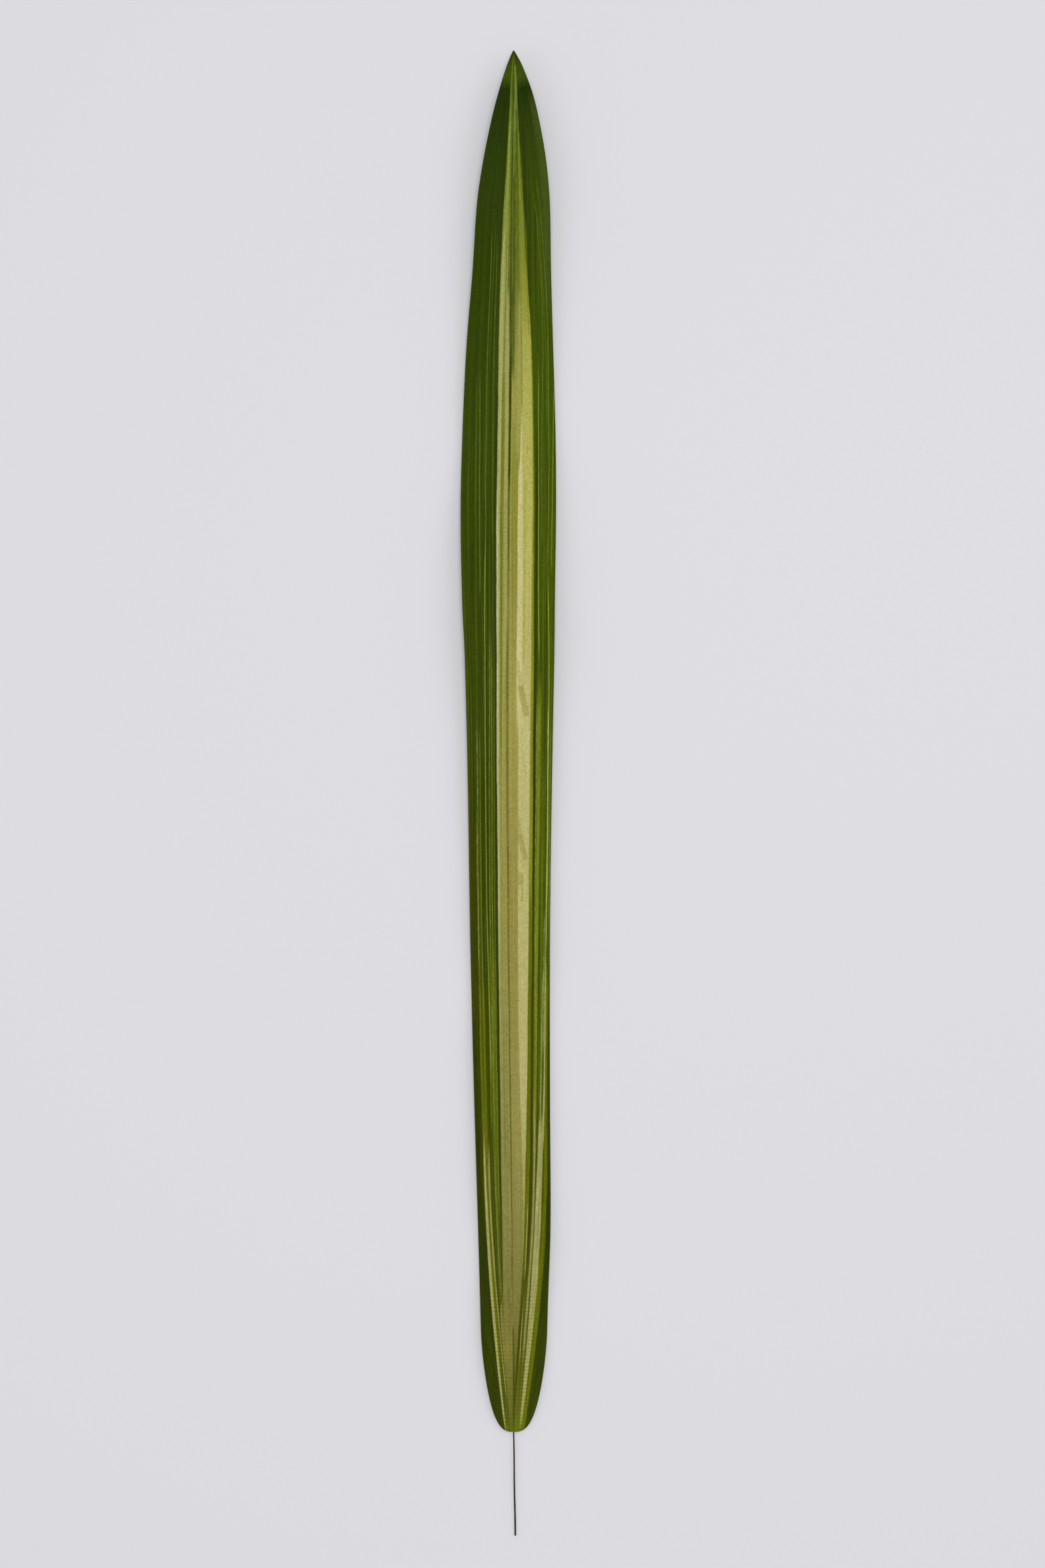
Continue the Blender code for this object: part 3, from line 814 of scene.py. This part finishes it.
    (paint(134, 146, 60), 0.21, 0.32, -0.456, -0.456, -0.45, 0.012, 0.01, 0.008, 0.8, 0.6),
    (MOSS, 0.42, 0.72, -0.905, -0.87, -0.845, 0.009, 0.008, 0.008, 0.8, 0.3),
    (MOSS, 0.42, 0.57, -0.97, -0.955, -0.93, 0.009, 0.008, 0.008, 0.75, 0.3),
    # Fine bright veins in the right margin.
    (paint(178, 182, 142), 0.28, 0.7, -0.252, -0.246, -0.232, 0.01, 0.01, 0.01, 0.75, 0.35),
    (BRIGHT, 0.55, 0.78, 0.682, 0.633, 0.643, 0.009, 0.007, 0.006, 0.9, 0.15),
    (paint(162, 174, 98), 0.29, 0.54, 0.64, 0.642, 0.645, 0.008, 0.008, 0.006, 0.65, 0.65),
    (paint(100, 118, 36), 0.76, 0.9, 0.727, 0.748, 0.545, 0.008, 0.008, 0.007, 0.85, 0.3),
    (paint(96, 114, 32), 0.64, 0.78, 0.72, 0.704, 0.742, 0.008, 0.008, 0.007, 0.85, 0.25),
    (MOSS, 0.38, 0.66, 0.812, 0.776, 0.72, 0.01, 0.008, 0.008, 0.85, 0.3),
    (paint(92, 110, 30), 0.72, 0.89, 0.798, 0.812, 0.66, 0.007, 0.007, 0.006, 0.85, 0.3),
    (paint(98, 116, 36), 0.79, 0.91, 0.89, 0.822, 0.64, 0.008, 0.007, 0.006, 0.88, 0.15),
    (paint(108, 126, 44), 0.62, 0.81, 0.838, 0.85, 0.892, 0.009, 0.008, 0.006, 0.9, 0.1),
    (BRIGHT, 0.27, 0.64, 0.845, 0.908, 0.834, 0.01, 0.009, 0.007, 0.92, 0.1),
    (paint(182, 190, 114), 0.34, 0.53, 0.904, 0.919, 0.878, 0.009, 0.009, 0.007, 0.9, 0.1),
    (paint(118, 136, 54), 0.62, 0.77, 0.924, 0.928, 1.01, 0.01, 0.008, 0.007, 0.9, 0.1),
    (paint(118, 134, 40), 0.33, 0.52, 0.99, 0.97, 0.95, 0.009, 0.008, 0.007, 0.88, 0.15),
    (paint(166, 174, 98), 0.27, 0.38, 0.83, 0.85, 0.862, 0.01, 0.009, 0.006, 0.8, 0.6),
    (LIME, 0.25, 0.44, 0.765, 0.8, 0.808, 0.01, 0.009, 0.007, 0.85, 0.35),
)
STRIPE_FADE = 0.12

# Worn patches, scratches and specks: colour, place along and across, slant, half length and half width in
# millimetres, and strength.
BRUISES = (
    (paint(156, 148, 72), 0.5475, 0.270, -0.20, 6.5, 1.00, 0.40),
    (paint(156, 148, 72), 0.5300, 0.362, -0.20, 6.8, 1.25, 0.75),
    (paint(153, 146, 72), 0.4380, 0.270, -0.21, 5.0, 0.95, 0.50),
    (paint(153, 146, 72), 0.4240, 0.355, -0.21, 5.6, 1.15, 0.70),
    (paint(153, 146, 72), 0.4010, 0.300, -0.04, 2.8, 1.30, 0.70),
    (paint(140, 136, 56), 0.3900, 0.345, 0.03, 3.0, 0.18, 0.70),
    (paint(208, 202, 142), 0.5010, 0.445, 0.32, 4.2, 0.12, 0.50),
    (paint(200, 192, 132), 0.4650, 0.360, 0.60, 2.6, 0.10, 0.50),
    (paint(70, 66, 12), 0.6720, 0.250, 1.50, 0.34, 0.06, 0.80),
    (paint(84, 74, 20), 0.2880, -0.040, 1.50, 0.36, 0.06, 0.85),
    (paint(90, 80, 26), 0.2530, -0.040, 1.50, 0.30, 0.06, 0.75),
    (paint(210, 208, 160), 0.2030, 0.880, 1.30, 0.20, 0.06, 0.80),
)


GRAIN_STRENGTH = 0.19
MOTTLE_STRENGTH = 0.06
THREAD_STRENGTH = 0.06
RIB_STRENGTH = 0.20
RIB_PITCH = 1.6  # millimetres from one cross rib to the next


def leaf_place(w):
    """The vein map's across and along, the object place, and the distance from the margin."""
    uv = w.put("SeparateXYZ")
    w.feed(uv.inputs[0], w.put("UVMap", uv_map=VEIN_MAP).outputs["UV"])
    across = w.times_plus(uv.outputs["X"], ACROSS_SPAN, -ACROSS_SPAN / 2)
    place = w.put("TexCoord").outputs["Object"]
    margin = w.put("Attribute", attribute_name=MARGIN_NOTE).outputs["Fac"]
    return across, uv.outputs["Y"], place, margin


def leaf_face():
    material, w, shader = new_material("leaf_face", 0.5, 0.03)
    true_across, true_along, place, margin = leaf_place(w)

    # Nothing that grew is straight, so every pattern wanders a little across the blade.
    drift = w.noise(w.vector(w.times(true_across, 2.0), w.times(true_along, 14.0)))
    jitter = w.noise(w.vector(w.times(true_across, 9.0), w.times(true_along, 130.0)))
    wander = w.times_plus(
        w.minus(jitter, 0.5),
        0.012,
        w.times(w.minus(drift, 0.5), 0.030),
    )
    across = w.maths("ADD", true_across, wander)
    along = w.times_plus(w.minus(drift, 0.5), 0.006, true_along)

    streaks = w.use(STREAKS, Across=true_across, Along=true_along, Pitch=26.0, Run=3.0)["Streaks"]
    threads = w.use(STREAKS, Across=true_across, Along=true_along, Pitch=70.0, Run=9.0)["Streaks"]
    grain = w.use(GRAIN, Place=place, Fineness=1100.0, Cross_Veins=0.22)["Grain"]
    dash_place = w.vector(w.times(true_across, 40.0), w.times(true_along, 150.0))
    dashes = w.noise(dash_place, detail=3.0, roughness=0.65)
    wane_place = w.vector(w.times(true_across, 17.0), w.times(true_along, 38.0))
    waning = w.between(w.noise(wane_place, detail=2.0), 0.35, 0.6, 0.80, 1.0)

    # Green margins, with the painted shadow of the clip as a darker band close to the tip.
    is_right = w.between(across, -0.02, 0.02)
    green = w.mix(is_right, w.ramp(along, LEFT_GREEN), w.ramp(along, RIGHT_GREEN))
    lively = w.between(along, 0.50, 0.84, 1.25, 0.20)
    lighter = w.times(w.between(streaks, 0.2, 1.0, 0.0, 0.26), lively)
    green = w.mix(lighter, green, paint(92, 106, 14))
    lines = w.times(w.between(threads, 0.40, 0.95, 0.0, 0.28), lively)
    green = w.mix(lines, green, paint(104, 118, 26))
    darker = w.between(streaks, -1.0, 0.0, 0.65, 0.0)
    green = w.mix(darker, green, DARK)

    # The pale middle, with the same painted shadow of the clip close to the tip.
    left_edge = w.curve(along, PALE_LEFT)
    right_edge = w.curve(along, PALE_RIGHT)
    palest_edge = w.curve(along, PALEST_LEFT)
    torn = w.times(w.minus(dashes, 0.5), 0.022)
    ragged = w.maths("ADD", across, torn)
    from_left = w.minus(ragged, left_edge)
    from_right = w.minus(right_edge, ragged)
    from_palest = w.minus(across, palest_edge)
    pale = w.mix(is_right, w.ramp(along, LEFT_PALE), w.ramp(along, RIGHT_PALE))
    pale = w.mix(w.between(from_palest, -0.010, 0.012), pale, w.ramp(along, PALEST))
    is_pale = w.times(
        w.between(from_left, -0.014, 0.012), w.between(from_right, -0.016, 0.014)
    )
    mottle_place = w.vector(w.times(true_across, 22.0), w.times(true_along, 120.0))
    mottle = w.noise(mottle_place, detail=3.0, roughness=0.65)
    olive_share = w.times(w.between(mottle, 0.45, 0.72), w.between(along, 0.46, 0.66, 0.12, 0.45))
    pale = w.mix(olive_share, pale, paint(122, 122, 36))
    pale = w.mix(w.between(streaks, 0.2, 1.0, 0.0, 0.22), pale, SILVER)
    colour = w.mix(is_pale, green, pale)

    for stripe in STRIPES:
        painted = w.use(
            VEIN_STRIPE,
            Under=colour,
            Across=across,
            Along=along,
            Grain=dashes,
            Waning=waning,
            Fade=STRIPE_FADE,
            **dict(zip(STRIPE_INPUTS, stripe)),
        )
        colour, along = painted["Color"], painted["Along"]

    # Worn patches, placed by their distance from the midrib in millimetres.
    spot = w.put("SeparateXYZ")
    w.feed(spot.inputs[0], place)
    x_mm = w.times_plus(jitter, 0.4, w.maths("DIVIDE", spot.outputs["X"], MM))
    y_mm = w.maths("DIVIDE", spot.outputs["Y"], MM)
    for tint, along_at, across_at, slant, half_length, half, strength in BRUISES:
        spread = float(vein_share(along_at) * half_width(np.array(along_at), np.array(across_at)))
        colour = w.use(
            BRUISE,
            Under=colour,
            Bruise=tint,
            X=x_mm,
            Y=y_mm,
            Raggedness=w.times_plus(dashes, 1.6, -0.8),
            At_X=(ORIGIN.x + float(midrib_x(along_at)) + spread * across_at) / MM,
            At_Y=(ORIGIN.y + along_at * BLADE_LENGTH) / MM,
            Slant=slant,
            Half_Length=half_length,
            Half_Width=half,
            Strength=strength,
        )["Color"]

    # Cross ribs where the veins run together.
    rib_bend = w.times_plus(dashes, 5.0, w.times(streaks, 1.2))
    ribs = w.maths("SINE", w.times_plus(y_mm, 2 * math.pi / RIB_PITCH, rib_bend))
    near_base = w.between(along, 0.06, 0.15, 1.0, 0.0)
    outer = w.between(w.maths("ABSOLUTE", true_across), 0.2, 0.7, 0.35, 1.0)
    outer = w.times(outer, w.between(true_across, 0.90, 1.10, 1.0, 0.1))
    outer = w.times(outer, w.between(true_across, -1.10, -0.95, 0.1, 1.0))
    uneven = w.between(waning, 0.8, 1.0, 0.3, 1.0)
    rib_shade = w.times(w.times(ribs, near_base), w.times(outer, uneven))

    # Tissue grain, fine threads and the dry brown line round the margin.
    tone = w.times_plus(grain, GRAIN_STRENGTH, 1.0)
    tone = w.times_plus(w.between(mottle, 0.3, 0.7, -1.0, 1.0), MOTTLE_STRENGTH, tone)
    tone = w.times_plus(threads, THREAD_STRENGTH, tone)
    tone = w.times_plus(rib_shade, RIB_STRENGTH, tone)
    colour = w.mix(1.0, colour, w.vector(tone, tone, tone), blend="MULTIPLY")
    rim = w.between(margin, 0.10, 0.40, 0.60, 0.0)
    colour = w.mix(rim, colour, paint(52, 40, 8))
    w.feed(shader.inputs["Base Color"], colour)

    shine = w.times_plus(streaks, 0.05, 0.52)
    w.feed(shader.inputs["Roughness"], w.times_plus(grain, 0.04, shine))

    height = w.times(w.maths("ADD", streaks, threads), 0.35)
    height = w.times_plus(grain, 0.25, height)
    height = w.times_plus(rib_shade, 0.8, height)
    bump = w.put("Bump")
    bump.inputs["Strength"].default_value = 0.5
    bump.inputs["Distance"].default_value = 0.00006
    w.feed(bump.inputs["Height"], height)
    w.feed(shader.inputs["Normal"], bump.outputs["Normal"])
    return material


def leaf_back():
    """The back: a duller, greyer green, with the pale middle showing through and its veins standing up."""
    material, w, shader = new_material("leaf_back", 0.62, 0.08)
    across, along, place, margin = leaf_place(w)
    streaks = w.use(STREAKS, Across=across, Along=along, Pitch=26.0, Run=3.0)["Streaks"]
    threads = w.use(STREAKS, Across=across, Along=along, Pitch=70.0, Run=9.0)["Streaks"]
    grain = w.use(GRAIN, Place=place, Fineness=1500.0, Cross_Veins=0.4)["Grain"]
    green = w.mix(w.between(streaks, -1.0, 1.0), paint(74, 88, 30), paint(104, 118, 52))
    from_left = w.minus(across, w.curve(along, PALE_LEFT))
    from_right = w.minus(w.curve(along, PALE_RIGHT), across)
    is_pale = w.times(w.between(from_left, -0.03, 0.03), w.between(from_right, -0.03, 0.03))
    colour = w.mix(is_pale, green, paint(156, 158, 98))
    keel = w.between(w.maths("ABSOLUTE", across), 0.02, 0.07, 0.8, 0.0)
    colour = w.mix(keel, colour, paint(138, 146, 78))
    tone = w.times_plus(grain, 0.05, w.times_plus(threads, 0.06, 1.0))
    colour = w.mix(1.0, colour, w.vector(tone, tone, tone), blend="MULTIPLY")
    colour = w.mix(w.between(margin, 0.10, 0.5, 0.7, 0.0), colour, paint(60, 50, 14))
    w.feed(shader.inputs["Base Color"], colour)
    w.feed(shader.inputs["Roughness"], w.times_plus(streaks, 0.06, 0.62))
    bump = w.put("Bump")
    bump.inputs["Strength"].default_value = 0.5
    bump.inputs["Distance"].default_value = 0.00008
    w.feed(bump.inputs["Height"], w.times_plus(grain, 0.2, w.maths("ADD", streaks, threads)))
    w.feed(shader.inputs["Normal"], bump.outputs["Normal"])
    return material


def leaf_edge():
    """The margin, dry and brown, and the cut across the base, where the pale inside shows."""
    material, w, shader = new_material("leaf_edge", 0.7, 0.2)
    _, along, place, _ = leaf_place(w)
    grain = w.use(GRAIN, Place=place, Fineness=2500.0, Cross_Veins=0.0)["Grain"]
    colour = w.mix(w.between(along, 0.012, 0.03), paint(118, 122, 48), paint(56, 46, 10))
    colour = w.mix(w.between(grain, -0.6, 1.0, 0.0, 0.5), colour, paint(92, 90, 30))
    w.feed(shader.inputs["Base Color"], colour)
    return material


STALK_COLOURS = (  # from the blade down to the cut end
    (0.0, (46, 31, 7)), (0.35, (40, 31, 7)), (0.75, (26, 36, 5)), (1.0, (20, 44, 5)),
)


def stalk_skin():
    """Dark brown under the blade, turning to a dark green further down, with fine streaks along it."""
    material, w, shader = new_material("stalk_skin", 0.5, 0.12)
    place = w.put("TexCoord").outputs["Object"]
    spot = w.put("SeparateXYZ")
    w.feed(spot.inputs[0], place)
    down = w.between(spot.outputs["Y"], STALK_LOW.y, STALK_HIGH.y, 1.0, 0.0)
    stretched = w.put("Mapping")
    w.feed(stretched.inputs["Vector"], place)
    stretched.inputs["Scale"].default_value = (9000, 260, 9000)
    streaks = w.noise(stretched.outputs["Vector"], detail=3.0)
    colour = w.ramp(down, STALK_COLOURS)
    colour = w.mix(w.between(streaks, 0.45, 0.75, 0.0, 0.6), colour, paint(90, 76, 28))
    w.feed(shader.inputs["Base Color"], colour)
    w.feed(shader.inputs["Roughness"], w.between(streaks, 0.3, 0.7, 0.4, 0.62))
    bump = w.put("Bump")
    bump.inputs["Strength"].default_value = 0.5
    bump.inputs["Distance"].default_value = 0.00006
    w.feed(bump.inputs["Height"], streaks)
    w.feed(shader.inputs["Normal"], bump.outputs["Normal"])
    return material


# ---------------------------------------------------------------------------------------------------------
# Surface, light and camera.

FLOOR_SIZE = 14.0
FLOOR_COLOUR = (0.70, 0.69, 0.715, 1)
FLOOR_DROP = 0.0001
LAMPS = (  # name, place, size and watts, all turned to the middle of the leaf
    ("overhead", (0.10, 0.10, 2.6), 0.9, 34),
    ("key", (1.7, 0.9, 1.6), 1.5, 7.7),
    ("fill", (-1.7, -0.6, 1.6), 1.6, 5.0),
)
SKY_COLOUR = (0.97, 0.97, 1.0, 1)
SKY_STRENGTH = 0.45
LENS, SENSOR = 100.0, 36.0
VIEW_LENGTH = 0.6814  # what the view shows from top to bottom, on the leaf
VIEW_ABOVE_BASE = 0.2819  # the middle of the view, from the blade's base
VIEW_RIGHT_OF_BASE = 0.00385


def make_floor():
    bm = bmesh.new()
    bmesh.ops.create_grid(bm, x_segments=1, y_segments=1, size=FLOOR_SIZE / 2)
    bmesh.ops.translate(bm, vec=(0, 0, -FLOOR_DROP), verts=bm.verts[:])
    mesh = bpy.data.meshes.new("floor")
    bm.to_mesh(mesh)
    bm.free()
    material, _, shader = new_material("floor_white", 0.9, 0.1)
    shader.inputs["Base Color"].default_value = FLOOR_COLOUR
    mesh.materials.append(material)
    floor = bpy.data.objects.new("floor", mesh)
    bpy.context.scene.collection.objects.link(floor)


def add_light(name, place, target, size, watts):
    lamp = bpy.data.lights.new(name, "AREA")
    lamp.shape = "SQUARE"
    lamp.size = size
    lamp.energy = watts
    light = bpy.data.objects.new(name, lamp)
    light.location = place
    light.rotation_euler = (Vector(target) - Vector(place)).to_track_quat("-Z", "Y").to_euler()
    light.visible_camera = False
    bpy.context.scene.collection.objects.link(light)


def add_lights():
    for name, place, size, watts in LAMPS:
        add_light(name, place, (0, 0, 0), size, watts)
    world = bpy.data.worlds.new("studio")
    world.use_nodes = True
    sky = world.node_tree.nodes["Background"]
    sky.inputs["Color"].default_value = SKY_COLOUR
    sky.inputs["Strength"].default_value = SKY_STRENGTH
    bpy.context.scene.world = world


def add_camera():
    """Straight above the leaf, with its tip at the top."""
    lens = bpy.data.cameras.new("camera")
    lens.lens = LENS
    lens.sensor_width = SENSOR
    lens.sensor_fit = "VERTICAL"
    lens.sensor_height = SENSOR
    camera = bpy.data.objects.new("camera", lens)
    above = VIEW_LENGTH * LENS / SENSOR
    camera.location = (ORIGIN.x + VIEW_RIGHT_OF_BASE, ORIGIN.y + VIEW_ABOVE_BASE, above + 4 * MM)
    bpy.context.scene.collection.objects.link(camera)
    bpy.context.scene.camera = camera


blade = make_blade()
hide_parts("leaf_blade")
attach(blade, "root")

stalk = make_stalk()
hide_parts("stalk")
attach(stalk, "root")

make_floor()
add_lights()
add_camera()
bpy.context.scene.view_settings.view_transform = "Standard"
